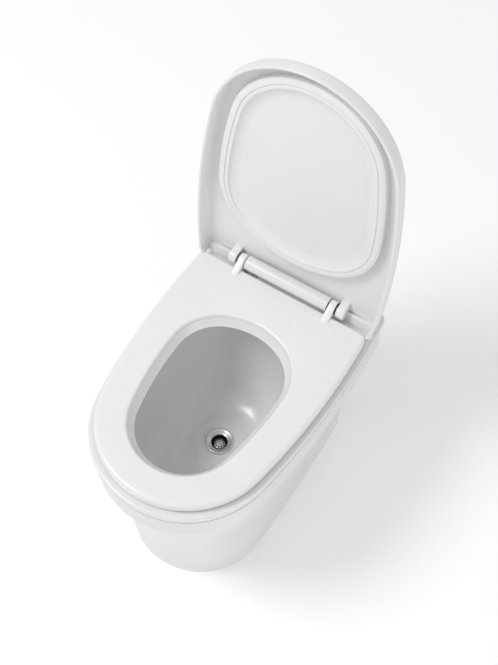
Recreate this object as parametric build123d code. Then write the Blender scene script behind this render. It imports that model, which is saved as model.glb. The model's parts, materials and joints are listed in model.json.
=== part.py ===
from build123d import *
import os
from math import asin, atan2, cos, degrees, hypot, pi, radians, sin, sqrt

os.makedirs("parts", exist_ok=True)

# A floor standing urinal pan with a seat ring and a wrap-over lid, all in millimetres.
# Working frame: X to the viewer's right, Y towards the wall, Z up, floor at Z = 0,
# Y = 0 on the hinge axis. The finished pieces are moved so that the middle of the
# overall box stands on the origin. The lid is drawn closed and then opened.

# Levels above the floor
seat_top = 401.0
seat_thickness = 22.0
bumper_height = 3.0
rim_height = 23.0
seam_gap = 2.0
seam_inset = 1.8
hinge_rise = 5.2
drain_level = 168.0

# Seat ring, outside outline
seat_half = 175.0
seat_wide = -120.6
seat_front = -472.0
seat_side_r = 1240.0
seat_back = -15.0
seat_back_r = 14.0
seat_edge_r = 7.0

# Seat opening at the top face, and how far its wall leans in by the under side
hole_half = 112.0
hole_wide = -207.0
hole_front = -417.7
hole_back = -99.6
hole_side_r = 598.0
hole_corner_r = 93.7
hole_back_r = 136.0
hole_lean = 10.0
hole_edge_r = 6.0

# Rim of the bowl piece, outside outline at the top
rim_half = 186.2
rim_wide = -112.0
rim_front = -485.0
rim_side_r = 1430.0
rim_back = 58.0
rim_back_r = 25.0
rim_draft = 4.3
rim_edge_r = 4.0
deck_thickness = 12.0
lip_depth = 9.0
lip_thickness = 6.0
lip_gap = 1.0
fit_gap = 0.3

# Pedestal, outline at the floor, height of the straight part and the curve of the taper
foot_half = 135.6
foot_wide = -176.0
foot_front = -431.5
foot_side_r = 2900.0
foot_back = 19.0
foot_back_r = 25.0
shoulder_level = 308.0
taper_power = 1.8
shoulder_ease = 0.04
wall = 12.0
lug_spacing_x = 190.0
lug_spacing_y = 200.0
lug_middle_y = -168.0
lug_size = 36.0
lug_height = 14.0
lug_hole_r = 4.5

# Bowl
bowl_half = 122.0
bowl_front = -437.0
bowl_back = -82.0
bowl_middle = -262.0
bowl_square = 2.7
bowl_wall = 10.0
drain_y = -229.6
sump_r = 46.0
bowl_round = 2.6

# Waste
flange_r = 26.5
flange_thickness = 2.5
throat_r = 15.0
stem_r = 19.5
stem_length = 58.0
gasket_thickness = 1.0
strainer_r = 11.8
strainer_thickness = 1.2
strainer_drop = 6.0
slot_count = 10
slot_width = 1.5
under_gasket_thickness = 3.0
waste_washer_thickness = 2.0
backnut_height = 12.0
backnut_r = 31.0

# Trap and outlet
trap_r = 30.0
trap_wall = 3.0
trap_bottom = 22.0
dip_tube_r = 16.0
dip_depth = 12.0
neck_height = 10.0
neck_flange = 3.0
inlet_nut_r = 28.0
inlet_nut_height = 30.0
inlet_nut_lip = 5.0
trap_seal_thickness = 3.0
cup_height = 26.0
outlet_level = 74.0
outlet_r = 19.0
outlet_wall = 2.0
spigot_r = 20.0
spigot_length = 30.0
branch_r = 23.0
branch_length = 38.0
outlet_nut_r = 30.0
outlet_nut_length = 22.0
grommet_r = 29.0
grommet_lip = 3.0

# Hinge
barrel_r = 13.5
barrel_wall = 1.8
barrel_half = 84.0
plug_length = 8.0
ear_r = 12.5
ear_width = 13.0
hinge_gap = 2.5
bush_r = 8.0
bush_flange_r = 11.0
bush_flange = 1.5
bush_spigot = 14.0
pin_r = 5.0
pin_reach = 55.0
running_gap = 0.05
damper_length = 42.0
damper_r = 11.4
damper_bore = 27.0
post_spacing = 155.0
post_width = 13.0
post_depth = 16.0
post_foot_r = 13.5
post_foot = 4.0
stud_r = 4.0
stud_length = 50.0
stud_hole_r = 6.0
cone_height = 14.0
cone_r = 15.0
washer_height = 2.0
wing_height = 11.0
wing_span = 34.0

# Lid, drawn closed; depths are measured up from its open edge
lid_angle = 97.06
lid_half = 185.8
lid_wide = -135.0
lid_front = -482.6
lid_side_r = 1252.5
lid_back = 20.0
lid_back_r = 18.0
lid_wall = 5.0
lid_skin = 3.5
lid_edge_drop = 16.7
lid_depth = 25.0
crown_front = 0.6
crown_back = 13.5
lining_thickness = 3.0
lining_drop = 2.0
dish_depth = 6.0
dish_slope = 19.0
knuckle_width = 15.0
knuckle_front = 16.0
lip_reach = 168.0
lip_toe = 3.7
lip_toe_rise = 5.2
lip_heel_rise = 0.8

# Seal ring on the lid's lining
seal_half = 154.5
seal_wide = -190.0
seal_front = -456.0
seal_back = -58.5
seal_side_r = 760.0
seal_corner_r = 125.0
seal_back_r = 194.0
seal_width = 18.5
seal_clearance = 0.3
seal_bevel = 5.0
seal_ridge = 6.0
groove_width = 2.0
groove_depth = 1.6

seat_under = seat_top - seat_thickness
rim_top = seat_under - bumper_height
rim_under = rim_top - rim_height
pedestal_top = rim_under - seam_gap
axis_z = seat_top + hinge_rise
lid_edge_z = axis_z - lid_edge_drop
lining_z = axis_z - lining_drop
hinge_axis = Axis((0, 0, axis_z), (1, 0, 0))


def unit(x, y):
    length = hypot(x, y)
    return x / length, y / length


# Radius of the front arc that runs smoothly out of the side arcs and reaches the tip
def tip_radius(half, wide, tip, side_r):
    depth = wide - tip
    across = side_r - half
    return (side_r**2 - across**2 - depth**2) / (2 * (side_r - depth))


# Centre of an arc that runs smoothly between two larger ones, on the back side
def corner_centre(side, side_r, end, end_r, corner_r):
    a = side_r - corner_r
    b = end_r - corner_r
    dx, dy = end[0] - side[0], end[1] - side[1]
    span = hypot(dx, dy)
    along = (a * a - b * b + span * span) / (2 * span)
    off = sqrt(a * a - along * along)
    ux, uy = dx / span, dy / span
    return side[0] + along * ux - off * uy, side[1] + along * uy + off * ux


def arc_between(centre, r, start, end):
    mx, my = unit(start[0] + end[0] - 2 * centre[0], start[1] + end[1] - 2 * centre[1])
    middle = (centre[0] + r * mx, centre[1] + r * my)
    return Edge.make_three_point_arc((*start, 0), (*middle, 0), (*end, 0))


# Point where two touching arcs meet, seen from the centre of the larger one
def meeting(big, big_r, small):
    ux, uy = unit(small[0] - big[0], small[1] - big[1])
    return big[0] + big_r * ux, big[1] + big_r * uy


def mirrored(point):
    return -point[0], point[1]


# Outline with a rounded front and a straight back, at height z
def d_outline(sizes, z, inset=0.0):
    half, wide, front, side_r, back, back_r = sizes
    half, front, back, side_r = half - inset, front + inset, back - inset, side_r - inset
    back_r = max(back_r - inset, 1.0)
    side = (half - side_r, wide)
    end = (0.0, front + tip_radius(half, wide, front, side_r))
    on_end = meeting(side, side_r, end)
    rise = back - back_r - wide
    corner = (side[0] + sqrt((side_r - back_r) ** 2 - rise**2), back - back_r)
    on_side = meeting(side, side_r, corner)
    on_back = (corner[0], back)
    edges = [
        Edge.make_line((*mirrored(on_back), 0), (*on_back, 0)),
        arc_between(corner, back_r, on_back, on_side),
        arc_between(side, side_r, on_side, on_end),
        Edge.make_three_point_arc((*on_end, 0), (0, front, 0), (*mirrored(on_end), 0)),
        arc_between(mirrored(side), side_r, mirrored(on_end), mirrored(on_side)),
        arc_between(mirrored(corner), back_r, mirrored(on_side), mirrored(on_back)),
    ]
    return Pos(0, 0, z) * Face(Wire(edges))


# Closed oval: sides and front as above, and a rounded back, at height z
def oval_outline(sizes, z, inset=0.0):
    half, wide, front, back, side_r, corner_r, back_r = sizes
    half, front, back, side_r = half - inset, front + inset, back - inset, side_r - inset
    corner_r, back_r = corner_r - inset, back_r - inset
    side = (half - side_r, wide)
    end = (0.0, front + tip_radius(half, wide, front, side_r))
    on_end = meeting(side, side_r, end)
    rear = (0.0, back - back_r)
    corner = corner_centre(side, side_r, rear, back_r, corner_r)
    on_side = meeting(side, side_r, corner)
    on_back = meeting(rear, back_r, corner)
    edges = [
        Edge.make_three_point_arc((*mirrored(on_back), 0), (0, back, 0), (*on_back, 0)),
        arc_between(corner, corner_r, on_back, on_side),
        arc_between(side, side_r, on_side, on_end),
        Edge.make_three_point_arc((*on_end, 0), (0, front, 0), (*mirrored(on_end), 0)),
        arc_between(mirrored(side), side_r, mirrored(on_end), mirrored(on_side)),
        arc_between(mirrored(corner), corner_r, mirrored(on_side), mirrored(on_back)),
    ]
    return Pos(0, 0, z) * Face(Wire(edges))


seat_sizes = (seat_half, seat_wide, seat_front, seat_side_r, seat_back, seat_back_r)
hole_sizes = (hole_half, hole_wide, hole_front, hole_back, hole_side_r, hole_corner_r, hole_back_r)
rim_sizes = (rim_half, rim_wide, rim_front, rim_side_r, rim_back, rim_back_r)
foot_sizes = (foot_half, foot_wide, foot_front, foot_side_r, foot_back, foot_back_r)
lid_sizes = (lid_half, lid_wide, lid_front, lid_side_r, lid_back, lid_back_r)
seal_sizes = (seal_half, seal_wide, seal_front, seal_back, seal_side_r, seal_corner_r, seal_back_r)


def upwards(face, height):
    return extrude(face, height, dir=(0, 0, 1))


# Upright and lying cylinders and tubes
def post(r, z_low, z_high, x=0.0, y=0.0):
    return Pos(x, y, (z_low + z_high) / 2) * Cylinder(r, z_high - z_low)


def ring(r_out, r_in, z_low, z_high, x=0.0, y=0.0):
    return post(r_out, z_low, z_high, x, y) - post(r_in, z_low - 1, z_high + 1, x, y)


def rod_x(r, x_low, x_high, y=0.0, z=axis_z):
    return Pos((x_low + x_high) / 2, y, z) * Rot(0, 90, 0) * Cylinder(r, x_high - x_low)


def tube_x(r_out, r_in, x_low, x_high):
    return rod_x(r_out, x_low, x_high) - rod_x(r_in, x_low - 1, x_high + 1)


def rod_y(r, y_low, y_high, z=outlet_level):
    return Pos(0, (y_low + y_high) / 2, z) * Rot(90, 0, 0) * Cylinder(r, y_high - y_low)


def tube_y(r_out, r_in, y_low, y_high):
    return rod_y(r_out, y_low, y_high) - rod_y(r_in, y_low - 1, y_high + 1)


def block(x_low, x_high, y_low, y_high, z_low, z_high):
    size = (x_high - x_low, y_high - y_low, z_high - z_low)
    middle = ((x_low + x_high) / 2, (y_low + y_high) / 2, (z_low + z_high) / 2)
    return Pos(*middle) * Box(*size)


# Prism along X from a closed outline of (y, z) points
def prism_x(points, x_low, x_high):
    outline = Wire.make_polygon([(x_low, y, z) for y, z in points], close=True)
    return extrude(Face(outline), x_high - x_low, dir=(1, 0, 0))


def both_sides(shape):
    return [shape, mirror(shape, Plane.YZ)]


# How far the pedestal has tapered towards its foot, eased in at the shoulder
def taper_share(z):
    drop = max(0.0, (shoulder_level - z) / shoulder_level)
    eased = drop * drop * (1.0 + shoulder_ease) / (drop + shoulder_ease)
    return 1.0 - (1.0 - eased) ** taper_power


# Outline of the pedestal at a height: upright down to the shoulder, then tapering
def pedestal_section(z, inset=0.0):
    top = (rim_half - rim_draft, rim_wide, rim_front + rim_draft, rim_side_r, rim_back - rim_draft, rim_back_r)
    share = taper_share(max(z, 0.0))
    sizes = [a + (b - a) * share for a, b in zip(top, foot_sizes)]
    return d_outline(sizes, z, inset)


def pedestal_loft(inset, z_low, z_high):
    steps = [0.0, 0.12, 0.28, 0.45, 0.62, 0.76, 0.86, 0.93, 0.97, 1.0, 1.07]
    levels = [shoulder_level * s for s in steps]
    levels[0] = z_low
    return loft([pedestal_section(z, inset) for z in levels + [z_high]])


def lugs():
    corners = [(sx * lug_spacing_x / 2, lug_middle_y + sy * lug_spacing_y / 2) for sx in (-1, 1) for sy in (-1, 1)]
    pads = []
    for x, y in corners:
        outward = lug_size if x > 0 else lug_size / 2
        inward = lug_size / 2 if x > 0 else lug_size
        pads.append(block(x - inward, x + outward, y - lug_size / 2, y + lug_size / 2, 0, lug_height))
    inside = upwards(pedestal_section(0, wall / 2), lug_height)
    pads = [pad & inside for pad in pads]
    holes = [post(lug_hole_r, -1, lug_height + 1, x, y) for x, y in corners]
    return pads, holes


def make_pedestal():
    shell = pedestal_loft(0.0, 0.0, pedestal_top) - pedestal_loft(wall, -5.0, pedestal_top + 5.0)
    pads, holes = lugs()
    for pad in pads:
        shell += pad
    for hole in holes:
        shell -= hole
    return shell - rod_y(grommet_r - grommet_lip, -100, 100)


def make_seam_seal():
    low, high = pedestal_top, rim_under
    outer = upwards(pedestal_section(pedestal_top, seam_inset), high - low)
    return outer - upwards(pedestal_section(low, wall), high - low)


# Closed smooth curve through points of a squared oval, for the bowl
def bowl_section(share, z, grow=0.0):
    half = sump_r + (bowl_half - sump_r) * share + grow
    front = (drain_y - sump_r) + (bowl_front - drain_y + sump_r) * share - grow
    back = (drain_y + sump_r) + (bowl_back - drain_y - sump_r) * share + grow
    middle = drain_y + (bowl_middle - drain_y) * share
    square = 2.0 + (bowl_square - 2.0) * share
    points = []
    for i in range(24):
        turn = 2 * pi * i / 24
        c, s = cos(turn), sin(turn)
        reach = back - middle if s > 0 else middle - front
        x = half * (1 if c > 0 else -1) * abs(c) ** (2 / square)
        y = middle + reach * (1 if s > 0 else -1) * abs(s) ** (2 / square)
        points.append((x, y, z))
    return Face(Wire(Edge.make_spline([Vector(*p) for p in points], periodic=True)))


def bowl_loft(grow, z_low, z_high):
    steps = [0.0, 0.08, 0.22, 0.42, 0.65, 0.85, 1.0]
    sections = []
    for step in steps:
        share = (1.0 - (1.0 - step) ** bowl_round) ** (1 / bowl_round)
        sections.append(bowl_section(share, z_low + (z_high - z_low) * step, grow))
    return loft(sections)


def stud_points():
    return [(-post_spacing / 2, 0.0), (post_spacing / 2, 0.0)]


# Outline of the pedestal's mouth at height zero, moved in by an inset
def lip_outline(inset):
    return Pos(0, 0, -pedestal_top) * pedestal_section(pedestal_top, inset)


def lip_solid(inset, extra):
    low = pedestal_top - lip_depth - extra
    high = rim_top - deck_thickness + extra
    return Pos(0, 0, low) * upwards(lip_outline(inset), high - low)


def make_bowl():
    lower = d_outline(rim_sizes, rim_under, rim_draft)
    upper = d_outline(rim_sizes, rim_top)
    rim = loft([lower, upper])
    rim = fillet(rim.faces().sort_by(Axis.Z)[-1].edges(), rim_edge_r)
    under = rim_top - deck_thickness
    lip_out = wall + lip_gap
    rim -= Pos(0, 0, rim_under - 1) * upwards(lip_outline(lip_out + 0.5), under - rim_under + 1)
    lip = lip_solid(lip_out, 0.0) - lip_solid(lip_out + lip_thickness, 1.0)
    shell = bowl_loft(bowl_wall, drain_level - bowl_wall, rim_top - deck_thickness / 2)
    body = rim + lip + shell
    body -= bowl_loft(0.0, drain_level, rim_top + 0.01)
    body -= post(stem_r + 1.0, drain_level - 30, drain_level + 1, 0, drain_y)
    for x, y in stud_points():
        body -= post(stud_hole_r, under - 1, rim_top + 1, x, y)
    return body


def make_waste_flange():
    low = drain_level + gasket_thickness
    plate = post(flange_r, low, low + flange_thickness, 0, drain_y)
    plate = fillet(plate.edges().group_by(Axis.Z)[-1], flange_thickness * 0.6)
    stem = post(stem_r, low - stem_length, low, 0, drain_y)
    bore = post(throat_r, low - stem_length - 1, low + flange_thickness + 1, 0, drain_y)
    funnel_r = flange_r - 4.0
    funnel = Pos(0, drain_y, low + flange_thickness) * Cone(throat_r, funnel_r, 2 * flange_thickness)
    return plate + stem - bore - funnel


def strainer_level():
    return drain_level + gasket_thickness - strainer_drop


def make_strainer_holder():
    z = strainer_level()
    return ring(throat_r, strainer_r, z - 5, z, 0, drain_y) + ring(throat_r, strainer_r - 1.5, z - 7, z - 5, 0, drain_y)


def make_strainer():
    z = strainer_level() - 5
    disc = post(strainer_r, z, z + strainer_thickness, 0, drain_y)
    long = strainer_r * 0.42
    for i in range(slot_count):
        turn = Rot(0, 0, 360.0 * i / slot_count)
        slot = Pos(strainer_r * 0.66, 0, 0) * Box(long, slot_width, 10)
        disc -= Pos(0, drain_y, z) * turn * slot
    for i in range(slot_count // 2):
        turn = Rot(0, 0, 720.0 * i / slot_count)
        disc -= Pos(0, drain_y, z) * turn * Pos(strainer_r * 0.28, 0, 0) * Cylinder(slot_width / 2, 10)
    return disc


def make_waste_gasket():
    return ring(flange_r - 1.5, stem_r + 0.2, drain_level, drain_level + gasket_thickness, 0, drain_y)


def bowl_bottom():
    return drain_level - bowl_wall


def make_under_gasket():
    z = bowl_bottom()
    return ring(backnut_r - 2, stem_r + 0.2, z - under_gasket_thickness, z, 0, drain_y)


def make_waste_washer():
    z = bowl_bottom() - under_gasket_thickness
    return ring(backnut_r - 2, stem_r + 0.2, z - waste_washer_thickness, z, 0, drain_y)


def make_backnut():
    z = bowl_bottom() - under_gasket_thickness - waste_washer_thickness
    hexagon = upwards(Pos(0, drain_y, z - backnut_height) * RegularPolygon(backnut_r, 6), backnut_height)
    return hexagon - post(stem_r, z - 40, z + 1, 0, drain_y)


def stem_end():
    return drain_level + gasket_thickness - stem_length


def trap_top():
    return stem_end() - trap_seal_thickness


def make_trap_body():
    top = trap_top()
    shoulder = top - neck_height
    outer = post(trap_r, trap_bottom + cup_height * 0.4, shoulder, 0, drain_y)
    neck = post(dip_tube_r, shoulder - 1, top, 0, drain_y)
    flange = post(stem_r - 1, top - neck_flange, top, 0, drain_y)
    branch = rod_y(branch_r, drain_y, branch_end())
    body = outer + neck + flange + branch
    body -= post(trap_r - trap_wall, trap_bottom, shoulder - trap_wall, 0, drain_y)
    body -= rod_y(outlet_r + fit_gap, drain_y, branch_end() + 1)
    dip = post(dip_tube_r, trap_bottom + dip_depth, top, 0, drain_y)
    return body + dip - post(dip_tube_r - trap_wall, trap_bottom, top + 1, 0, drain_y)


def make_trap_cup():
    cup = post(trap_r + trap_wall, trap_bottom, trap_bottom + cup_height, 0, drain_y)
    cup = fillet(cup.edges().group_by(Axis.Z)[0], 5)
    low = trap_bottom + cup_height * 0.4
    cup -= post(trap_r, low, trap_bottom + cup_height + 1, 0, drain_y)
    return cup - post(trap_r - trap_wall, trap_bottom + trap_wall, low + 1, 0, drain_y)


def make_trap_seal():
    return ring(stem_r, throat_r, trap_top(), stem_end(), 0, drain_y)


def make_inlet_nut():
    low = trap_top() - neck_flange - inlet_nut_lip
    nut = post(inlet_nut_r, low, low + inlet_nut_height, 0, drain_y)
    nut -= post(dip_tube_r + fit_gap, low - 1, low + inlet_nut_height, 0, drain_y)
    nut -= post(stem_r, low + inlet_nut_lip, low + inlet_nut_height + 1, 0, drain_y)
    for i in range(12):
        turn = Rot(0, 0, 30.0 * i)
        nut -= Pos(0, drain_y, 0) * turn * post(2.2, low - 1, low + inlet_nut_height - 5, inlet_nut_r + 0.6, 0)
    return nut


def branch_end():
    return drain_y + trap_r + branch_length


def back_at(z):
    top = rim_back - rim_draft
    return top + (foot_back - top) * taper_share(z)


def make_outlet_nut():
    start = branch_end() - outlet_nut_length * 0.6
    end = start + outlet_nut_length
    nut = rod_y(outlet_nut_r, start, end) - rod_y(branch_r, start - 1, branch_end() + trap_seal_thickness)
    return nut - rod_y(outlet_r + fit_gap, start, end + 1)


def make_outlet_seal():
    return tube_y(branch_r, outlet_r, branch_end(), branch_end() + trap_seal_thickness)


def make_outlet_pipe():
    start = drain_y + trap_r + 8
    spigot = back_at(outlet_level) + 8
    pipe = rod_y(outlet_r, start, spigot) + rod_y(spigot_r, spigot, spigot + spigot_length)
    return pipe - rod_y(outlet_r - outlet_wall, start - 1, spigot + spigot_length + 1)


def make_grommet():
    back = back_at(outlet_level)
    collar = tube_y(grommet_r - grommet_lip, outlet_r, back - wall - 6, back + 4)
    outer = tube_y(grommet_r + 3, outlet_r, back + 4, back + 8)
    return collar + outer


def ear_outline():
    front, low = -34.0, seat_under + 4
    high = seat_top - 0.6
    up = tangent_point(front, high, 1)
    down = tangent_point(front, low, -1)
    return [(front, low), down, (0.0, axis_z), up, (front, high)]


# Point where a line from (y, z) touches the ear's round end
def tangent_point(y, z, sense):
    dy, dz = -y, axis_z - z
    reach = hypot(dy, dz)
    lean = atan2(dz, dy) + sense * asin(ear_r / reach)
    along = sqrt(reach * reach - ear_r * ear_r)
    return y + along * cos(lean), z + along * sin(lean)


def ear_span():
    start = barrel_half + hinge_gap
    return start, start + ear_width


def make_seat():
    ring_body = upwards(d_outline(seat_sizes, seat_under), seat_thickness)
    ring_body -= upwards(oval_outline(hole_sizes, seat_under - 1), seat_thickness + 2)
    top = ring_body.faces().sort_by(Axis.Z)[-1]
    ring_body = fillet(top.inner_wires()[0].edges(), hole_edge_r)
    top = ring_body.faces().sort_by(Axis.Z)[-1]
    ring_body = fillet(top.outer_wire().edges(), seat_edge_r)
    ring_body = fillet(ring_body.faces().sort_by(Axis.Z)[0].outer_wire().edges(), 3.0)
    lean_top = seat_top - hole_edge_r - 1.0
    lean = upwards(oval_outline(hole_sizes, seat_under, -2.0), lean_top - seat_under)
    lean -= loft([oval_outline(hole_sizes, seat_under, hole_lean), oval_outline(hole_sizes, lean_top, 0.05)])
    ring_body += lean
    start, end = ear_span()
    ear = prism_x(ear_outline(), start, end) + rod_x(ear_r, start, end)
    for one in both_sides(ear):
        ring_body += one
    ring_body -= rod_x(bush_r, start - 1, end + 1)
    return ring_body - rod_x(bush_r, -end - 1, -start + 1)


def make_seat_bumpers():
    pads = []
    for x, y in ((145, -120), (128, -360)):
        pad = post(9, rim_top, seat_under, x, y)
        pads += both_sides(pad)
    return pads


def make_seat_bushes():
    start, end = ear_span()
    sleeve = tube_x(bush_r, pin_r + running_gap, start - bush_spigot, end)
    flange = tube_x(bush_flange_r, pin_r + running_gap, end, end + bush_flange)
    return both_sides(sleeve + flange)


def knuckle_start():
    return ear_span()[1] + bush_flange + hinge_gap


def make_barrel():
    return tube_x(barrel_r, barrel_r - barrel_wall, -barrel_half, barrel_half)


def make_barrel_plugs():
    return both_sides(tube_x(barrel_r - barrel_wall, bush_r + running_gap, barrel_half - plug_length, barrel_half))


def make_damper(side):
    end = barrel_half - plug_length
    body = rod_x(damper_r, end - damper_length, end)
    body -= rod_x(bush_r + running_gap, barrel_half + hinge_gap - bush_spigot - 0.5, end + 1)
    body -= rod_x(pin_r + running_gap, end - damper_bore, end)
    return body if side > 0 else mirror(body, Plane.YZ)


def make_hinge_posts():
    posts = []
    for x, y in stud_points():
        foot = post(post_foot_r, rim_top, rim_top + post_foot, x, y)
        pillar = block(x - post_width / 2, x + post_width / 2, -post_depth / 2, post_depth / 2,
                       rim_top + post_foot, axis_z)
        posts.append(foot + pillar - rod_x(barrel_r, x - 20, x + 20) - post(stud_r, rim_top - 1, rim_top + 9, x, y))
    return posts


def make_hinge_studs():
    return [post(stud_r, rim_top + 9 - stud_length, rim_top + 9, x, y) for x, y in stud_points()]


def make_cone_washers():
    high = rim_top - deck_thickness
    cones = []
    for x, y in stud_points():
        cone = Pos(x, y, high - cone_height / 2) * Cone(cone_r, stud_hole_r + 2, cone_height)
        cones.append(cone - post(stud_r + fit_gap, high - 30, high + 1, x, y))
    return cones


def make_stud_washers():
    high = rim_top - deck_thickness - cone_height
    return [ring(cone_r, stud_r + fit_gap, high - washer_height, high, x, y) for x, y in stud_points()]


def make_wing_nuts():
    high = rim_top - deck_thickness - cone_height - washer_height
    nuts = []
    for x, y in stud_points():
        hub = post(8, high - wing_height, high, x, y)
        wings = block(x - wing_span / 2, x + wing_span / 2, y - 1.5, y + 1.5, high - wing_height, high - 2)
        nuts.append(hub + wings - post(stud_r, high - 30, high + 1, x, y))
    return nuts


# Solid under the lid's crowned top: arched across, highest at the back
def crown_block(lower):
    width = lid_half + 20
    stations = [(lid_front - 15, crown_front), (-330.0, 8.0), (-150.0, 12.0), (lid_back + 10, crown_back)]
    sections = []
    for y, crown in stations:
        edge = lid_edge_z + lid_depth - lower
        low = lid_edge_z - 30
        arc = Edge.make_three_point_arc((-width, y, edge), (0, y, edge + crown), (width, y, edge))
        sides = [((width, y, edge), (width, y, low)), ((width, y, low), (-width, y, low)),
                 ((-width, y, low), (-width, y, edge))]
        sections.append(Face(Wire([arc] + [Edge.make_line(a, b) for a, b in sides])))
    return loft(sections)


def lid_volume(inset, lower, z_low):
    return upwards(d_outline(lid_sizes, z_low, inset), 80) & crown_block(lower)


def knuckle_end():
    return knuckle_start() + knuckle_width


# The hinge side of the lid: open under the skin between the knuckles, a low lip beyond them
def rear_cut():
    low = lid_edge_z - 5
    slant = [(lip_toe, axis_z + lip_toe_rise), (lid_back, axis_z + lip_heel_rise), (lid_back + 5, axis_z + lip_heel_rise),
             (lid_back + 5, low), (lip_toe, low)]
    middle = block(-knuckle_end(), knuckle_end(), lip_toe, lid_back + 5, low, axis_z + 40) & crown_block(lid_skin)
    return prism_x(slant, -lip_reach, lip_reach) + middle


def rear_lip():
    high = axis_z + 40
    points = [(lip_toe, axis_z + lip_toe_rise), (lid_back, axis_z + lip_heel_rise), (lid_back, high), (lip_toe, high)]
    return prism_x(points, knuckle_end() - 0.5, lip_reach + 5) & lid_volume(1.0, 1.0, lid_edge_z)


def knuckle():
    start, end = knuckle_start(), knuckle_end()
    lug = rod_x(barrel_r, start, end)
    lug += block(start, end, -knuckle_front, barrel_r, axis_z, axis_z + 40)
    return lug & lid_volume(1.0, 1.0, lid_edge_z)


def make_lid_shell():
    shell = lid_volume(0.0, 0.0, lid_edge_z) - lid_volume(lid_wall, lid_skin, lid_edge_z - 1)
    for one in both_sides(rear_lip()):
        shell += one
    shell -= rear_cut()
    for one in both_sides(knuckle()):
        shell += one
    hole = rod_x(pin_r, pin_reach, knuckle_end() - 3)
    for one in both_sides(hole):
        shell -= one
    return shell


# Raised oval panel that carries the seal, softly dished inside it and hollow behind
def make_lid_lining():
    panel = upwards(oval_outline(seal_sizes, lining_z), 40) & lid_volume(lid_wall, lid_skin, lid_edge_z)
    floor = lining_z + dish_depth
    panel -= loft([oval_outline(seal_sizes, lining_z - 0.01, seal_width),
                   oval_outline(seal_sizes, floor, seal_width + dish_slope)])
    hollow = floor + lining_thickness
    return panel - upwards(oval_outline(seal_sizes, hollow, lining_thickness), 40)


def make_lid_seal():
    low = seat_top + seal_clearance
    body = loft([oval_outline(seal_sizes, low, seal_bevel), oval_outline(seal_sizes, lining_z)])
    body -= upwards(oval_outline(seal_sizes, low - 1, seal_width), lining_z - low + 2)
    start = seal_bevel + seal_ridge
    groove = upwards(oval_outline(seal_sizes, low - 1, start), 1 + groove_depth)
    groove -= upwards(oval_outline(seal_sizes, low - 2, start + groove_width), 3 + groove_depth)
    return body - groove


def make_lid_pins():
    return both_sides(rod_x(pin_r, pin_reach, knuckle_end() - 3))


def opened(shapes):
    return [shape.rotate(hinge_axis, -lid_angle) for shape in shapes]


def solids_of(shape):
    shapes = shape if isinstance(shape, list) else [shape]
    return [solid for one in shapes for solid in one.solids()]


nodes = {
    "pedestal": make_pedestal(),
    "bowl": make_bowl(),
    "seam_seal": make_seam_seal(),
    "waste_flange": make_waste_flange(),
    "strainer_holder": make_strainer_holder(),
    "strainer": make_strainer(),
    "waste_gasket": make_waste_gasket(),
    "waste_under_gasket": make_under_gasket(),
    "waste_washer": make_waste_washer(),
    "waste_backnut": make_backnut(),
    "trap_seal": make_trap_seal(),
    "trap_inlet_nut": make_inlet_nut(),
    "trap_body": make_trap_body(),
    "trap_cup": make_trap_cup(),
    "outlet_nut": make_outlet_nut(),
    "outlet_seal": make_outlet_seal(),
    "outlet_pipe": make_outlet_pipe(),
    "outlet_grommet": make_grommet(),
    "hinge_barrel": make_barrel(),
    "barrel_plugs": make_barrel_plugs(),
    "lid_damper": make_damper(-1),
    "seat_damper": make_damper(1),
    "hinge_posts": make_hinge_posts(),
    "hinge_studs": make_hinge_studs(),
    "stud_cone_washers": make_cone_washers(),
    "stud_washers": make_stud_washers(),
    "wing_nuts": make_wing_nuts(),
    "seat": make_seat(),
    "seat_bumpers": make_seat_bumpers(),
    "seat_bushes": make_seat_bushes(),
    "lid_shell": make_lid_shell(),
    "lid_lining": make_lid_lining(),
    "lid_seal": make_lid_seal(),
    "lid_pins": make_lid_pins(),
}

lid_nodes = ("lid_shell", "lid_lining", "lid_seal", "lid_pins")
finished = {}
for name, shape in nodes.items():
    solids = solids_of(shape)
    finished[name] = opened(solids) if name in lid_nodes else solids

# The middle of the overall box stands on the origin
overall = Compound(children=[solid for solids in finished.values() for solid in solids]).bounding_box()
shift_y = -(overall.min.Y + overall.max.Y) / 2
print("shift_y", round(shift_y, 3), "size", overall.size)
for name, solids in finished.items():
    moved = [solid.moved(Location((0, shift_y, 0))) for solid in solids]
    export_step(Compound(children=moved), "parts/" + name + ".step")
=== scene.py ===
import bpy
import bmesh
import json
import math
from mathutils import Matrix, Vector


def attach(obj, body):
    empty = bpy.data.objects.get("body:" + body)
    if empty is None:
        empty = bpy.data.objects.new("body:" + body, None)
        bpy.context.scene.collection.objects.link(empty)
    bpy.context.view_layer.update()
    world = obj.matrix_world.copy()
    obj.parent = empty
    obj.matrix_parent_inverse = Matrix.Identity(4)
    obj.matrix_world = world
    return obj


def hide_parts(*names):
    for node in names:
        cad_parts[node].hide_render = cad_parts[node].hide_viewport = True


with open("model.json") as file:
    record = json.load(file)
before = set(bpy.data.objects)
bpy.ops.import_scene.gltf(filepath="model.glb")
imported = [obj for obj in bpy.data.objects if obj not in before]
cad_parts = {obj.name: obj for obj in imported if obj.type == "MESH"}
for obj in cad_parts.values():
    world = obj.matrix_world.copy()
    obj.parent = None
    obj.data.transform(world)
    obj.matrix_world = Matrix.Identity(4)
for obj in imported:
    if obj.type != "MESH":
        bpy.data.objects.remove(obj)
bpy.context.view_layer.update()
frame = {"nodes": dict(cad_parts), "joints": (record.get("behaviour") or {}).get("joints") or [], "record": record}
print("stage: frame loaded")

# the hinge axis is the reference for every measure below (millimetres, y from the axis, z from the floor)
hinge = frame["joints"][0]["pos_m"]
hingeY = hinge[1]
axisZ = hinge[2] * 1000


def linear(hexText):
    channels = [int(hexText[i:i + 2], 16) / 255 for i in (0, 2, 4)]
    return [c / 12.92 if c <= 0.04045 else ((c + 0.055) / 1.055) ** 2.4 for c in channels] + [1.0]


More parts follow.
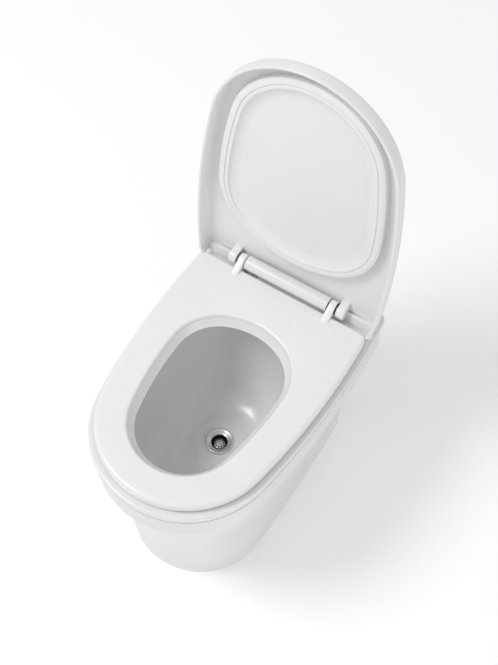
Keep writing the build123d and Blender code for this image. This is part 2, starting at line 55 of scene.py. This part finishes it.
# adds a node, sets its inputs and properties, and links inputs from other sockets
def addNode(tree, kind, inputs=None, links=None, **props):
    node = tree.nodes.new(kind)
    for key, value in props.items():
        setattr(node, key, value)
    for key, value in (inputs or {}).items():
        node.inputs[key].default_value = value
    for key, socket in (links or {}).items():
        tree.links.new(socket, node.inputs[key])
    return node


# materials

def newMaterial(name):
    mat = bpy.data.materials.new(name)
    mat.use_nodes = True
    mat.node_tree.nodes.clear()
    return mat, mat.node_tree


def finishMaterial(tree, shader):
    addNode(tree, "ShaderNodeOutputMaterial", links={"Surface": shader.outputs[0]})


# colour that drifts between two close tones over the surface
def drift(tree, coords, scale, toneA, toneB, detail=2.0):
    noise = addNode(tree, "ShaderNodeTexNoise", {"Scale": scale, "Detail": detail}, {"Vector": coords})
    ramp = addNode(tree, "ShaderNodeValToRGB", links={"Fac": noise.outputs["Fac"]})
    ramp.color_ramp.elements[0].position = 0.3
    ramp.color_ramp.elements[1].position = 0.7
    ramp.color_ramp.elements[0].color = linear(toneA)
    ramp.color_ramp.elements[1].color = linear(toneB)
    return ramp.outputs["Color"]


def roughnessDrift(tree, coords, scale, low, high):
    noise = addNode(tree, "ShaderNodeTexNoise", {"Scale": scale, "Detail": 3.0}, {"Vector": coords})
    spread = addNode(tree, "ShaderNodeMapRange", {"To Min": low, "To Max": high},
            {"Value": noise.outputs["Fac"]})
    return spread.outputs["Result"]


def bump(tree, coords, scale, depth, detail=2.0, normal=None):
    noise = addNode(tree, "ShaderNodeTexNoise", {"Scale": scale, "Detail": detail}, {"Vector": coords})
    links = {"Height": noise.outputs["Fac"]}
    if normal:
        links["Normal"] = normal
    return addNode(tree, "ShaderNodeBump", {"Strength": 1.0, "Distance": depth},
            links).outputs["Normal"]


def plainMaterial(name, toneA, toneB, rough, waviness, grain, **settings):
    mat, tree = newMaterial(name)
    coords = addNode(tree, "ShaderNodeTexCoord").outputs["Object"]
    colour = drift(tree, coords, 9.0, toneA, toneB)
    normal = None
    if waviness:
        normal = bump(tree, coords, waviness[0], waviness[1], 1.0)
    if grain:
        normal = bump(tree, coords, grain[0], grain[1], 2.0, normal)
    links = {"Base Color": colour, "Roughness": roughnessDrift(tree, coords, 25.0, rough[0], rough[1])}
    if normal:
        links["Normal"] = normal
    shader = addNode(tree, "ShaderNodeBsdfPrincipled", settings, links)
    finishMaterial(tree, shader)
    return mat


# fired white glaze: a hard, clear shine over a body whose tone drifts a little over the surface
glaze = plainMaterial("vitreousChinaSlipCastGlazed", "e4e4e3", "e6e6e5", (0.20, 0.26), (9.0, 0.00012),
        (240.0, 0.00001),
                      IOR=1.52, **{"Coat Weight": 0.25, "Coat Roughness": 0.18})
# pressed seat plastic: smooth and bright with a softer shine than the glaze
seatPlastic = plainMaterial("ureaPlasticCompressionMoulded", "e9e9e8", "ebebea", (0.24, 0.29), None,
        (900.0, 0.000006),
                            IOR=1.50)
lidPlastic = plainMaterial("ureaPlasticLidMoulded", "e6e6e5", "e8e8e7", (0.28, 0.33), None,
        (900.0, 0.000006), IOR=1.50)
hingePlastic = plainMaterial("acetalHingeMoulded", "e2e2e1", "e4e4e3", (0.22, 0.28), None,
        (900.0, 0.000006), IOR=1.48)
# soft seal: matt, so its ridges read by their own shading
sealRubber = plainMaterial("siliconeSealSoft", "e8e8e6", "eaeae8", (0.42, 0.5), None, (700.0, 0.00001),
        IOR=1.41)
blackRubber = plainMaterial("epdmRubberMoulded", "1c1c1c", "262626", (0.6, 0.75), None,
        (700.0, 0.00003), IOR=1.50)
# plating picks up the white walls of the bowl and the dark of the throat
chromePlate = plainMaterial("brassChromePlated", "d2d3d4", "d8d9da", (0.30, 0.38), None,
        (400.0, 0.00001), Metallic=1.0)
steelDrawn = plainMaterial("stainlessSteelPressed", "c6c7c8", "cecfd0", (0.34, 0.44), None,
        (600.0, 0.00002), Metallic=1.0)
# steel painted near-black as painted shade: the holder reads as a black ring round the bright strainer, where the
# throat lies in shade
steelPaintedShade = plainMaterial("stainlessSteelPaintedShade", "141414", "1a1a1a", (0.45, 0.55), None,
        (600.0, 0.00002), Metallic=1.0)
pipePlastic = plainMaterial("polypropyleneMoulded", "dcdcd8", "e2e2de", (0.42, 0.5), None,
        (500.0, 0.00003), IOR=1.49)
darkPlastic = plainMaterial("nylonBlackMoulded", "1e1e20", "27272a", (0.4, 0.5), None, (500.0, 0.00003),
        IOR=1.53)

bySlot = {
    "ceramic_glaze": glaze, "seat_plastic": seatPlastic, "lid_plastic": lidPlastic,
    "hinge_plastic": hingePlastic,
    "seal_grey": sealRubber, "rubber_black": blackRubber, "chrome": chromePlate, "steel": steelDrawn,
    "pipe_plastic": pipePlastic, "damper_plastic": darkPlastic,
}
slotOf = {part["node"]: part["material_slot"] for part in frame["record"]["subparts"]}
for nodeName, obj in frame["nodes"].items():
    obj.data.materials.clear()
    obj.data.materials.append(bySlot[slotOf[nodeName]])
# the strainer holder gets the steel painted near-black, as painted shade for the shaded throat
frame["nodes"]["strainer_holder"].data.materials[0] = steelPaintedShade
print("stage: materials")


# shapes shared by the pieces

outlinePoints = 480
# every ring of points is seen from this middle, in millimetres in front of the hinge
ringMiddle = -235.0


def tipRadius(half, wide, tip, sideR):
    depth = wide - tip
    across = sideR - half
    return (sideR ** 2 - across ** 2 - depth ** 2) / (2 * (sideR - depth))


def arcPoints(centre, radius, start, end, count):
    a = math.atan2(start[1] - centre[1], start[0] - centre[0])
    b = math.atan2(end[1] - centre[1], end[0] - centre[0])
    turn = (b - a + math.pi) % (2 * math.pi) - math.pi
    return [(centre[0] + radius * math.cos(a + turn * i / count),
            centre[1] + radius * math.sin(a + turn * i / count))
            for i in range(count + 1)]


def meeting(big, bigR, small):
    span = math.hypot(small[0] - big[0], small[1] - big[1])
    return big[0] + bigR * (small[0] - big[0]) / span, big[1] + bigR * (small[1] - big[1]) / span


def cornerCentre(side, sideR, end, endR, cornerR):
    a = sideR - cornerR
    b = endR - cornerR
    dx, dy = end[0] - side[0], end[1] - side[1]
    span = math.hypot(dx, dy)
    along = (a * a - b * b + span * span) / (2 * span)
    off = math.sqrt(a * a - along * along)
    return side[0] + (along * dx - off * dy) / span, side[1] + (along * dy + off * dx) / span


# right half of an outline from the back to the tip, as points on its arcs
def halfOutline(sizes, inset):
    half, wide, front, back, sideR = (sizes[k] for k in ("half", "wide", "front", "back", "sideR"))
    half, front, back, sideR = half - inset, front + inset, back - inset, sideR - inset
    side = (half - sideR, wide)
    tipR = tipRadius(half, wide, front, sideR)
    end = (0.0, front + tipR)
    onEnd = meeting(side, sideR, end)
    if "backR" in sizes:
        cornerR = sizes["cornerR"] - inset
        backR = sizes["backR"] - inset
        rear = (0.0, back - backR)
        corner = cornerCentre(side, sideR, rear, backR, cornerR)
        onBack = meeting(rear, backR, corner)
        points = arcPoints(rear, backR, (0.0, back), onBack, 120)
    else:
        cornerR = max(sizes["cornerR"] - inset, 0.8)
        rise = back - cornerR - wide
        corner = (side[0] + math.sqrt((sideR - cornerR) ** 2 - rise ** 2), back - cornerR)
        onBack = (corner[0], back)
        points = [(0.0, back), onBack]
    onSide = meeting(side, sideR, corner)
    points += arcPoints(corner, cornerR, onBack, onSide, 80)
    points += arcPoints(side, sideR, onSide, onEnd, 300)
    return points + arcPoints(end, tipR, onEnd, (0.0, front), 300)


# outline as one point per direction seen from a fixed middle, so that rings join point to point
def outlineRing(sizes, inset=0.0):
    middle = ringMiddle
    dense = [(math.atan2(x, -(y - middle)), x, y) for x, y in halfOutline(sizes, inset)]
    dense.sort()
    spot = 0
    steps = outlinePoints // 2
    right = []
    for i in range(steps + 1):
        angle = math.pi * i / steps
        while spot < len(dense) - 2 and dense[spot + 1][0] < angle:
            spot += 1
        (a0, x0, y0), (a1, x1, y1) = dense[spot], dense[spot + 1]
        d = (math.sin(angle), -math.cos(angle))
        ex, ey = x1 - x0, y1 - y0
        det = d[0] * ey - d[1] * ex
        t = ((x0 * ey) - (y0 - middle) * ex) / det if abs(det) > 1e-9 else math.hypot(x0, y0 - middle)
        right.append((max(t * d[0], 0.0), middle + t * d[1]))
    right[0] = (0.0, right[0][1])
    right[-1] = (0.0, right[-1][1])
    return right + [(-x, y) for x, y in reversed(right[1:-1])]


def blendRing(ringA, ringB, share):
    return [(ax + (bx - ax) * share, ay + (by - ay) * share) for (ax, ay),
            (bx, by) in zip(ringA, ringB)]


# a ring drawn in towards the middle
def shrunkRing(ring, share):
    return [(x * share, ringMiddle + (y - ringMiddle) * share) for x, y in ring]


def atHeight(ring, z):
    return [(x, y, z) for x, y in ring]


# closed skin through rings of points; the ends are closed by a middle point, or joined for a torus
def ringSkin(name, rows, capFirst=None, capLast=None, torus=False):
    count = len(rows[0])
    verts = [v for row in rows for v in row]
    faces = []
    pairs = [(r, r + 1) for r in range(len(rows) - 1)]
    if torus:
        pairs.append((len(rows) - 1, 0))
    for a, b in pairs:
        for i in range(count):
            j = (i + 1) % count
            faces.append((a * count + i, a * count + j, b * count + j, b * count + i))
    for cap, row in ((capFirst, 0), (capLast, len(rows) - 1)):
        if cap is None:
            continue
        verts.append(cap)
        tip = len(verts) - 1
        for i in range(count):
            j = (i + 1) % count
            faces.append((row * count + i, row * count + j, tip) if row else (row * count + j,
                    row * count + i, tip))
    return meshObject(name, verts, faces)


# design frame in millimetres to the shared frame in metres
def meshObject(name, verts, faces, smooth=True):
    mesh = bpy.data.meshes.new(name)
    mesh.from_pydata([(x / 1000, y / 1000 + hingeY, z / 1000) for x, y, z in verts], [], faces)
    mesh.update()
    bm = bmesh.new()
    bm.from_mesh(mesh)
    bmesh.ops.recalc_face_normals(bm, faces=bm.faces)
    bm.to_mesh(mesh)
    bm.free()
    if smooth:
        mesh.polygons.foreach_set("use_smooth", [True] * len(mesh.polygons))
    obj = bpy.data.objects.new(name, mesh)
    bpy.context.scene.collection.objects.link(obj)
    return obj


def applied(obj):
    bpy.context.view_layer.update()
    done = bpy.data.meshes.new_from_object(obj.evaluated_get(bpy.context.evaluated_depsgraph_get()))
    obj.modifiers.clear()
    old = obj.data
    obj.data = done
    bpy.data.meshes.remove(old)


def cutBy(obj, cutter):
    mod = obj.modifiers.new("cut", "BOOLEAN")
    mod.operation = "DIFFERENCE"
    mod.solver = "EXACT"
    mod.object = cutter
    applied(obj)
    bpy.data.objects.remove(cutter)


def sharpBy(obj, degreesMax):
    obj.data.set_sharp_from_angle(angle=math.radians(degreesMax))


# upright outline of (y, z) points, drawn out along x and rounded on its edges
def prismX(name, outline, x0, x1, rounding):
    n = len(outline)
    verts = [(x, y, z) for x in (x0, x1) for y, z in outline]
    faces = [tuple(range(n)), tuple(range(2 * n - 1, n - 1, -1))]
    faces += [(i, (i + 1) % n, n + (i + 1) % n, n + i) for i in range(n)]
    obj = meshObject(name, verts, faces, smooth=False)
    if rounding:
        mod = obj.modifiers.new("round", "BEVEL")
        mod.width = rounding / 1000
        mod.segments = 4
        mod.limit_method = "ANGLE"
        mod.angle_limit = math.radians(35)
        applied(obj)
    obj.data.polygons.foreach_set("use_smooth", [True] * len(obj.data.polygons))
    sharpBy(obj, 40)
    return obj


# lid pieces are drawn closed and turned open about the hinge, by this many degrees
lidAngle = 97.06


def openLid(obj):
    toHinge = Matrix.Translation((0, hingeY, axisZ / 1000))
    turn = Matrix.Rotation(math.radians(-lidAngle), 4, "X")
    obj.data.transform(toHinge @ turn @ toHinge.inverted())
    obj.data.update()


def place(obj, material, body, node=None):
    obj.data.materials.clear()
    obj.data.materials.append(material)
    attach(obj, body)
    if node:
        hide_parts(node)


def quarter(count):
    return [math.pi / 2 * i / count for i in range(count + 1)]


# seat ring with its two ears

seatShape = {
    "outer": {"half": 175.0, "wide": -120.6, "front": -472.0, "sideR": 1240.0, "back": -15.0,
            "cornerR": 14.0},
    "hole": {"half": 112.0, "wide": -207.0, "front": -417.7, "back": -99.6, "sideR": 598.0,
            "cornerR": 93.7, "backR": 136.0},
    "top": 401.0, "under": 379.0, "edgeR": 7.0, "underR": 3.0, "holeR": 6.0, "holeLean": 10.0,
    "earStart": 86.5, "earWidth": 13.0, "earR": 12.5, "earFoot": -34.0,
}


def earOutline(low, high, radius, foot):
    points = [(foot, low)]
    touch = []
    for z, sense in ((low, -1), (high, 1)):
        dy, dz = -foot, axisZ - z
        reach = math.hypot(dy, dz)
        lean = math.atan2(dz, dy) + sense * math.asin(radius / reach)
        along = math.sqrt(reach * reach - radius * radius)
        touch.append((foot + along * math.cos(lean), z + along * math.sin(lean)))
    a = math.atan2(touch[0][1] - axisZ, touch[0][0])
    b = math.atan2(touch[1][1] - axisZ, touch[1][0])
    turn = (b - a) % (2 * math.pi)
    points += [(radius * math.cos(a + turn * i / 40),
            axisZ + radius * math.sin(a + turn * i / 40)) for i in range(41)]
    return points + [(foot, high)]


def makeSeat():
    s = seatShape
    rows = []
    for a in quarter(5):
        rows.append(atHeight(outlineRing(s["outer"], s["underR"] * (1 - math.sin(a))),
                s["under"] + s["underR"] * (1 - math.cos(a))))
    for a in quarter(8):
        rows.append(atHeight(outlineRing(s["outer"], s["edgeR"] * (1 - math.cos(a))),
                s["top"] - s["edgeR"] * (1 - math.sin(a))))
    outerTop = outlineRing(s["outer"], s["edgeR"])
    holeTop = outlineRing(s["hole"], -s["holeR"])
    for share in (0.25, 0.5, 0.75):
        rows.append(atHeight(blendRing(outerTop, holeTop, share), s["top"]))
    for a in quarter(8):
        rows.append(atHeight(outlineRing(s["hole"], -s["holeR"] * (1 - math.sin(a))),
                s["top"] - s["holeR"] * (1 - math.cos(a))))
    wallTop = s["top"] - s["holeR"]
    for share in (0.12, 0.5, 0.9):
        rows.append(atHeight(outlineRing(s["hole"], s["holeLean"] * share),
                wallTop + (s["under"] - wallTop) * share))
    rows.append(atHeight(outlineRing(s["hole"], s["holeLean"]), s["under"] + 0.6))
    rows.append(atHeight(outlineRing(s["hole"], s["holeLean"] - 0.6), s["under"]))
    ring = ringSkin("seatRing", rows, torus=True)
    sharpBy(ring, 60)
    place(ring, seatPlastic, "pan", "seat")
    for side, name in ((1, "seatEarRight"), (-1, "seatEarLeft")):
        x0, x1 = sorted((side * s["earStart"], side * (s["earStart"] + s["earWidth"])))
        ear = prismX(name, earOutline(s["under"] + 4, s["top"] - 0.6, s["earR"], s["earFoot"]), x0, x1,
                1.6)
        place(ear, seatPlastic, "pan", "seat")


makeSeat()
print("stage: seat")


# lid: wrap-over shell, raised oval panel and seal

lidShape = {
    "outer": {"half": 185.8, "wide": -135.0, "front": -482.6, "sideR": 1252.5, "back": 20.0,
            "cornerR": 18.0},
    "wall": 5.0, "skin": 3.5, "edge": 389.5, "depth": 25.0, "topR": 7.0, "floorR": 8.0, "rimR": 1.6,
    "crown": ((-497.6, 0.6), (-330.0, 8.0), (-150.0, 12.0), (30.0, 13.5)), "crownReach": 205.8,
    "knuckleStart": 103.5, "knuckleWidth": 15.0, "knuckleR": 13.5, "knuckleFront": 16.0,
    "lipReach": 168.0, "lipToe": 3.7, "lipToeRise": 5.2, "lipHeelRise": 0.8,
}
sealShape = {
    "oval": {"half": 154.5, "wide": -190.0, "front": -456.0, "back": -58.5, "sideR": 760.0,
            "cornerR": 125.0, "backR": 194.0},
    "width": 18.5, "low": 401.3, "high": 404.2, "bevel": 5.0, "ridge": 6.0,
    "grooveWidth": 2.0, "grooveDepth": 1.6,
    "dishDepth": 6.0, "dishRun": 20.0,
}


# height of the lid's crowned outside
def crownHeight(x, y):
    s = lidShape
    stations = s["crown"]
    total = 0.0
    for i, (yi, ci) in enumerate(stations):
        weight = 1.0
        for j, (yj, _) in enumerate(stations):
            if j != i:
                weight *= (y - yj) / (yi - yj)
        total += ci * weight
    return s["edge"] + s["depth"] + total * (1 - (x / s["crownReach"]) ** 2)


def crownRow(ring, drop):
    return [(x, y, crownHeight(x, y) - drop) for x, y in ring]


def makeLid():
    s = lidShape
    middle = ringMiddle
    rows = []
    shares = (0.04, 0.12, 0.22, 0.34, 0.46, 0.58, 0.70, 0.81, 0.90, 0.96)
    top = outlineRing(s["outer"], s["topR"])
    for share in shares:
        rows.append(crownRow(shrunkRing(top, share), 0.0))
    for a in quarter(6):
        rows.append(crownRow(outlineRing(s["outer"], s["topR"] * (1 - math.sin(a))),
                s["topR"] * (1 - math.cos(a))))
    for a in quarter(3):
        rows.append(atHeight(outlineRing(s["outer"], s["rimR"] * (1 - math.cos(a))),
                s["edge"] + s["rimR"] * (1 - math.sin(a))))
    for a in quarter(3):
        inset = s["wall"] - s["rimR"] * (1 - math.sin(a))
        rows.append(atHeight(outlineRing(s["outer"], inset), s["edge"] + s["rimR"] * (1 - math.cos(a))))
    for a in quarter(8):
        inset = s["wall"] + s["floorR"] * (1 - math.cos(a))
        rows.append(crownRow(outlineRing(s["outer"], inset),
                s["skin"] + s["floorR"] * (1 - math.sin(a))))
    floor = outlineRing(s["outer"], s["wall"] + s["floorR"])
    for share in reversed(shares):
        rows.append(crownRow(shrunkRing(floor, share), s["skin"]))
    high = (0.0, middle, crownHeight(0, middle))
    shell = ringSkin("lidShell", rows, capFirst=high, capLast=(0.0, middle, high[2] - s["skin"]))
    low = s["edge"] - 8
    end = s["knuckleStart"] + s["knuckleWidth"]
    back = s["outer"]["back"] + 6
    slant = [(s["lipToe"], axisZ + s["lipToeRise"]), (s["outer"]["back"], axisZ + s["lipHeelRise"]),
            (back, axisZ + s["lipHeelRise"]),
             (back, low), (s["lipToe"], low)]
    cutBy(shell, prismX("rearCutter", slant, -s["lipReach"], s["lipReach"], 0))
    openBack = [(s["lipToe"] + 1, axisZ + 13.4), (back, axisZ + 13.4), (back, low),
            (s["lipToe"] + 1, low)]
    cutBy(shell, prismX("middleCutter", openBack, -end, end, 0))
    sharpBy(shell, 42)
    openLid(shell)
    place(shell, lidPlastic, "lid", "lid_shell")
    for side, name in ((1, "Right"), (-1, "Left")):
        x0, x1 = sorted((side * s["knuckleStart"], side * end))
        r = s["knuckleR"]
        arc = [(r * math.cos(math.pi + math.pi * i / 32),
                axisZ + r * math.sin(math.pi + math.pi * i / 32)) for i in range(33)]
        rise = crownHeight(end, 0) - s["skin"] * 0.6
        lug = prismX("lidKnuckle" + name, arc + [(r, rise), (-s["knuckleFront"], rise),
                (-s["knuckleFront"], axisZ + 9)], x0, x1, 1.4)
        openLid(lug)
        place(lug, lidPlastic, "lid", "lid_shell")
        x0, x1 = sorted((side * (end - 0.5), side * (s["lipReach"] + 3)))
        rise = crownHeight(s["lipReach"], 5) - s["skin"] * 0.6
        lip = prismX("lidRearLip" + name, [(s["lipToe"], axisZ + s["lipToeRise"]),
                (s["outer"]["back"] - 1.5, axisZ + s["lipHeelRise"] + 0.4),
                                           (s["outer"]["back"] - 1.5, rise), (s["lipToe"],
                                                   rise)], x0, x1, 0.8)
        openLid(lip)
        place(lip, lidPlastic, "lid", "lid_shell")


def makeLidPanel():
    s = sealShape
    middle = ringMiddle
    inner = s["width"] - 0.4
    ringIn = outlineRing(s["oval"], inner)
    rows = []
    drops = ((0.0, 0.0), (0.8, 0.25), (3.0, 1.1), (6.0, 2.4), (9.5, 3.7), (13.0, 4.8), (16.5, 5.6),
            (s["dishRun"], 5.95))
    for reach, drop in drops:
        rows.append(atHeight(outlineRing(s["oval"], inner + reach),
                s["high"] + drop * s["dishDepth"] / 6.0))
    floor = outlineRing(s["oval"], inner + s["dishRun"])
    for share in (0.9, 0.75, 0.55, 0.35, 0.15):
        rows.append(atHeight(shrunkRing(floor, share), s["high"] + s["dishDepth"]))
    rows.reverse()
    outer = outlineRing(s["oval"], 0.0)
    rows.append(atHeight(blendRing(ringIn, outer, 0.5), s["high"]))
    rows.append(atHeight(outer, s["high"]))
    rows.append([(x, y, crownHeight(x, y) - lidShape["skin"] + 0.5) for x, y in outer])
    for share in (0.8, 0.5, 0.2):
        ring = shrunkRing(outer, share)
        rows.append([(x, y, crownHeight(x, y) - lidShape["skin"] + 0.5) for x, y in ring])
    capTop = (0.0, middle, crownHeight(0, middle) - lidShape["skin"] + 0.5)
    panel = ringSkin("lidPanel", rows, capFirst=(0.0, middle, s["high"] + s["dishDepth"]),
            capLast=capTop)
    sharpBy(panel, 40)
    openLid(panel)
    place(panel, lidPlastic, "lid", "lid_lining")


def makeLidSeal():
    s = sealShape
    ridgeEnd = s["bevel"] + s["ridge"]
    grooveEnd = ridgeEnd + s["grooveWidth"]
    low, high = s["low"], s["high"] + 0.1
    profile = [(0.0, high), (0.3, high - 0.7), (s["bevel"] - 0.8, low + 0.25), (s["bevel"], low),
            (ridgeEnd - 0.4, low), (ridgeEnd, low + 0.4),
               (ridgeEnd + 0.2, low + s["grooveDepth"]), (grooveEnd - 0.2,
                       low + s["grooveDepth"]), (grooveEnd, low + 0.4),
               (grooveEnd + 0.4, low), (s["width"] - 0.3, low), (s["width"], low + 0.3), (s["width"],
                       high)]
    rows = [atHeight(outlineRing(s["oval"], inset), z) for inset, z in profile]
    seal = ringSkin("lidSeal", rows, torus=True)
    sharpBy(seal, 30)
    openLid(seal)
    place(seal, sealRubber, "lid", "lid_seal")


makeLid()
makeLidPanel()
makeLidSeal()
print("stage: lid")


# drain: chrome flange round a dark throat, with a pierced strainer

drainShape = {"y": -229.6, "top": 171.5, "outerR": 26.5, "bore": 15.0, "dish": 3.6, "strainerR": 11.8,
        "strainerTop": 159.2,
              "thickness": 1.2, "petals": 10}


def turnedPiece(name, profile, centreY, count=96, torus=True):
    rows = []
    for radius, z in profile:
        rows.append([(radius * math.cos(2 * math.pi * i / count),
                centreY + radius * math.sin(2 * math.pi * i / count), z)
                     for i in range(count)])
    return ringSkin(name, rows, torus=torus)


def makeDrain():
    d = drainShape
    top = d["top"]
    profile = [(d["outerR"], top - 2.5), (d["outerR"], top - 1.2), (d["outerR"] - 0.8, top - 0.3),
            (d["outerR"] - 2.0, top),
               (d["outerR"] - 3.2, top - 0.35), (d["outerR"] - 6.0, top - 1.8), (d["bore"] + 2.5,
                       top - d["dish"]),
               (d["bore"] + 0.6, top - d["dish"] - 0.8), (d["bore"], top - d["dish"] - 2.2), (d["bore"],
                       top - 60.5),
               (19.5, top - 60.5), (19.5, top - 3.5), (d["outerR"] - 1.5, top - 2.6)]
    flange = turnedPiece("wasteFlange", profile, d["y"])
    sharpBy(flange, 35)
    place(flange, chromePlate, "pan", "waste_flange")
    low = d["strainerTop"]
    disc = turnedPiece("strainerPlate", [(0.6, low + 2.2), (4.0, low + 2.1), (8.0, low + 1.4),
            (11.0, low + 0.5), (d["strainerR"], low),
                                         (d["strainerR"], low - d["thickness"]), (8.0, low + 0.2), (4.0,
                                                 low + 0.9), (0.6, low + 1.0)], d["y"])
    for i in range(d["petals"]):
        turn = 2 * math.pi * i / d["petals"]
        verts, faces = [], []
        for z in (low - 3, low + 4):
            for k in range(16):
                a = 2 * math.pi * k / 16
                px, py = 7.6 + 2.5 * math.cos(a), (1.15 + 0.35 * math.cos(a)) * math.sin(a)
                verts.append((px * math.cos(turn) - py * math.sin(turn),
                        d["y"] + px * math.sin(turn) + py * math.cos(turn), z))
        faces = [tuple(range(16)), tuple(range(31, 15, -1))] + [(k, (k + 1) % 16, 16 + (k + 1) % 16,
                16 + k) for k in range(16)]
        cutBy(disc, meshObject("petalCutter", verts, faces, smooth=False))
    sharpBy(disc, 35)
    place(disc, steelDrawn, "pan", "strainer")


makeDrain()
print("stage: drain")


# camera, floor and light

# where the photograph was taken from, in metres from the hinge axis and the floor,
# and its focal length in its own pixels
cameraLook = {"spot": (0.5761, -1.0306, 2.1756), "right": (0.8431, 0.5378, 0.0),
        "up": (-0.4594, 0.7202, 0.5199),
              "forward": (-0.2796, 0.4383,
                      -0.8542), "focalPixels": 1200, "photoHeight": 665, "sensor": 36}


def placeCamera():
    c = cameraLook
    right, up, forward = (Vector(c[key]) for key in ("right", "up", "forward"))
    data = bpy.data.cameras.new("photoCamera")
    data.lens = c["sensor"] * c["focalPixels"] / c["photoHeight"]
    data.sensor_width = c["sensor"]
    cam = bpy.data.objects.new("photoCamera", data)
    bpy.context.scene.collection.objects.link(cam)
    spot = Vector(c["spot"]) + Vector((0, hingeY, 0))
    cam.matrix_world = Matrix.Translation(spot) @ Matrix((right, up, -forward)).transposed().to_4x4()
    bpy.context.scene.camera = cam


floorLook = {"tone": "f4f4f4", "lift": 0.13}
lightLook = {"worldStrength": 0.65, "keyPower": 69.0, "keySize": 1.5, "keySpot": (-1.8, -1.4, 3.7),
             "fillPower": 20.0, "fillSize": 1.6, "fillSpot": (2.9, -0.9, 0.45)}


def makeFloor():
    mesh = bpy.data.meshes.new("floor")
    mesh.from_pydata([(-9, -9, 0), (9, -9, 0), (9, 9, 0), (-9, 9, 0)], [], [(0, 1, 2, 3)])
    floor = bpy.data.objects.new("floor", mesh)
    bpy.context.scene.collection.objects.link(floor)
    mat, tree = newMaterial("floorPaleMatt")
    matt = addNode(tree, "ShaderNodeBsdfDiffuse", {"Color": linear(floorLook["tone"])})
    path = addNode(tree, "ShaderNodeLightPath")
    lift = addNode(tree, "ShaderNodeMath", {1: floorLook["lift"]}, {0: path.outputs["Is Camera Ray"]},
            operation="MULTIPLY")
    glow = addNode(tree, "ShaderNodeEmission", links={"Strength": lift.outputs[0]})
    both = addNode(tree, "ShaderNodeAddShader", links={0: matt.outputs[0], 1: glow.outputs[0]})
    finishMaterial(tree, both)
    mesh.materials.append(mat)


def makeWorld():
    world = bpy.data.worlds.new("studio")
    bpy.context.scene.world = world
    world.use_nodes = True
    tree = world.node_tree
    tree.nodes.clear()
    path = addNode(tree, "ShaderNodeLightPath")
    room = addNode(tree, "ShaderNodeBackground", {"Color": (1, 1, 1, 1),
            "Strength": lightLook["worldStrength"]})
    white = addNode(tree, "ShaderNodeBackground", {"Color": (1, 1, 1, 1), "Strength": 1.0})
    mix = addNode(tree, "ShaderNodeMixShader", links={0: path.outputs["Is Camera Ray"],
            1: room.outputs[0], 2: white.outputs[0]})
    addNode(tree, "ShaderNodeOutputWorld", links={"Surface": mix.outputs[0]})


def makeLamp(name, spot, power, size, target):
    data = bpy.data.lights.new(name, "AREA")
    data.shape = "DISK"
    data.size = size
    data.energy = power
    lamp = bpy.data.objects.new(name, data)
    bpy.context.scene.collection.objects.link(lamp)
    lamp.location = spot
    lamp.rotation_euler = (Vector(target) - Vector(spot)).to_track_quat("-Z", "Y").to_euler()


placeCamera()
makeFloor()
makeWorld()
makeLamp("keyLamp", lightLook["keySpot"], lightLook["keyPower"], lightLook["keySize"], (0, 0, 0.4))
makeLamp("fillLamp", lightLook["fillSpot"], lightLook["fillPower"], lightLook["fillSize"], (0, 0, 0.4))
bpy.context.scene.view_settings.view_transform = "Standard"
print("stage: camera, floor and light")
